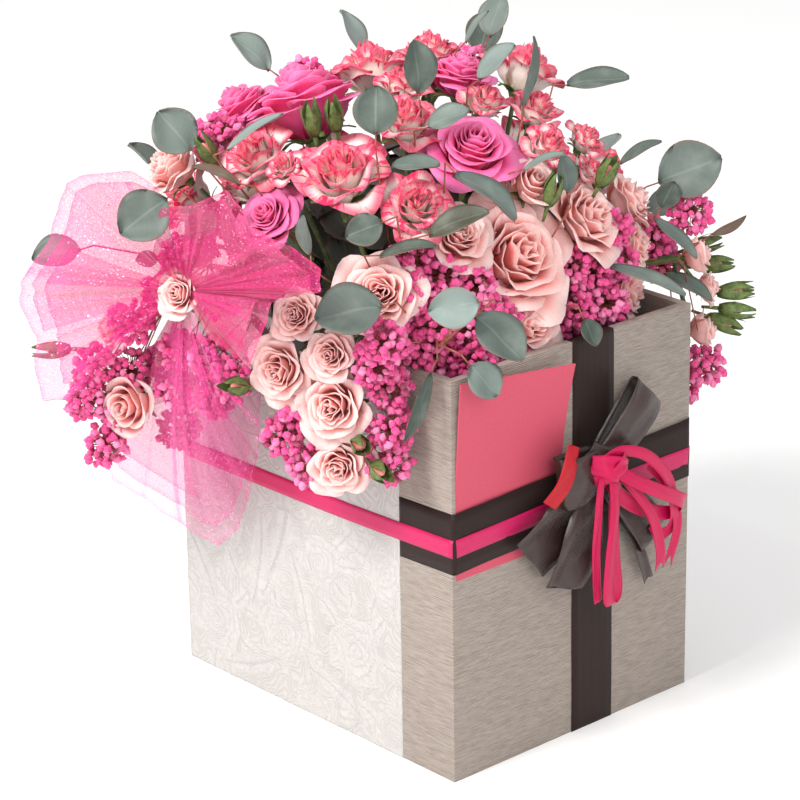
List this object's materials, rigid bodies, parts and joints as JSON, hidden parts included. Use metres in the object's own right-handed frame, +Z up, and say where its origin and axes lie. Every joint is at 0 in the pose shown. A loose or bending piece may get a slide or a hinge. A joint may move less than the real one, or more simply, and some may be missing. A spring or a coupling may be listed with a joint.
{
  "type": "flower box",
  "caption": "Open rigid gift box with ribbons, a bow and a tucked-in card, filled with a lift-out bouquet of roses, gypsophila, eucalyptus and tulle.",
  "frame": {"origin": "middle of the box's underside, on the surface it stands on", "axes": "+Z up; the face with the bow and card is towards -Y; the embossed face with the tulle is towards -X"},
  "size_m": [0.456, 0.3722, 0.4738],
  "materials": {
    "taupe_paper": "fine ribbed linen-look paper, matt",
    "ivory_paper": "pearly paper embossed with roses and leaves",
    "grey_board": "rigid grey board",
    "riser_card": "plain card",
    "brown_satin": "dark brown satin ribbon",
    "pink_ribbon": "crimson-pink satin ribbon",
    "red_ribbon": "bright red satin ribbon",
    "pink_card": "smooth matt card",
    "liner_plastic": "thin waterproof tray",
    "foam": "open-cell floral foam",
    "hot_pink_petal": "velvety petals",
    "striped_petal": "cream petals with crimson streaks",
    "pale_petal": "pale pink petals",
    "bud_green": "green sepals",
    "gypsophila_pink": "dyed buds",
    "eucalyptus_leaf": "waxy blue-grey leaf",
    "rose_leaf": "dark green leaf",
    "stem_green": "green stem",
    "berry_stem": "thin brown stem",
    "magenta_tulle": "sheer glitter tulle"
  },
  "bodies": {
    "box": {"back_board": "grey_board", "base_board": "grey_board", "base_paper": "taupe_paper", "bow_brown": "brown_satin", "bow_pink": "pink_ribbon", "brown_band": "brown_satin", "cover_paper": "taupe_paper", "front_board": "grey_board", "ivory_panels": "ivory_paper", "left_board": "grey_board", "lining_paper": "taupe_paper", "pink_band": "pink_ribbon", "red_tab": "red_ribbon", "right_board": "grey_board", "rim_paper": "taupe_paper", "riser": "riser_card", "upright_ribbon": "brown_satin"},
    "card": {"card": "pink_card"},
    "arrangement": {"eucalyptus_back": "eucalyptus_leaf", "eucalyptus_front": "eucalyptus_leaf", "eucalyptus_left": "eucalyptus_leaf", "eucalyptus_right": "eucalyptus_leaf", "eucalyptus_stems": "stem_green", "eucalyptus_top": "eucalyptus_leaf", "floral_foam": "foam", "gypsophila_back": "gypsophila_pink", "gypsophila_far_left": "gypsophila_pink", "gypsophila_front": "gypsophila_pink", "gypsophila_left": "gypsophila_pink", "gypsophila_right": "gypsophila_pink", "gypsophila_stems": "berry_stem", "hot_pink_rose_1": "hot_pink_petal", "hot_pink_rose_2": "hot_pink_petal", "hot_pink_rose_3": "hot_pink_petal", "hot_pink_rose_4": "hot_pink_petal", "hot_pink_roses_back": "hot_pink_petal", "liner_tray": "liner_plastic", "rose_foliage": "rose_leaf", "rose_stems": "stem_green", "rosebuds": "bud_green", "spray_roses_back": "pale_petal", "spray_roses_back_right": "pale_petal", "spray_roses_corner": "pale_petal", "spray_roses_far_left": "pale_petal", "spray_roses_front": "pale_petal", "spray_roses_left": "pale_petal", "spray_roses_low_left": "pale_petal", "spray_roses_right": "pale_petal", "striped_rose_1": "striped_petal", "striped_rose_2": "striped_petal", "striped_rose_3": "striped_petal", "striped_rose_4": "striped_petal", "striped_rose_5": "striped_petal", "striped_rose_6": "striped_petal", "striped_rose_7": "striped_petal", "striped_roses_back": "striped_petal", "striped_roses_small": "striped_petal", "tulle_centre": "magenta_tulle", "tulle_drop": "magenta_tulle", "tulle_left": "magenta_tulle"}
  },
  "joints": [
    {"name": "card_pull", "type": "slide", "parent": "box", "child": "card", "axis": [0, 0, 1], "range_m": [0, 0.056]},
    {"name": "arrangement_lift", "type": "slide", "parent": "box", "child": "arrangement", "axis": [0, 0, 1], "range_m": [0, 0.3]}
  ]
}
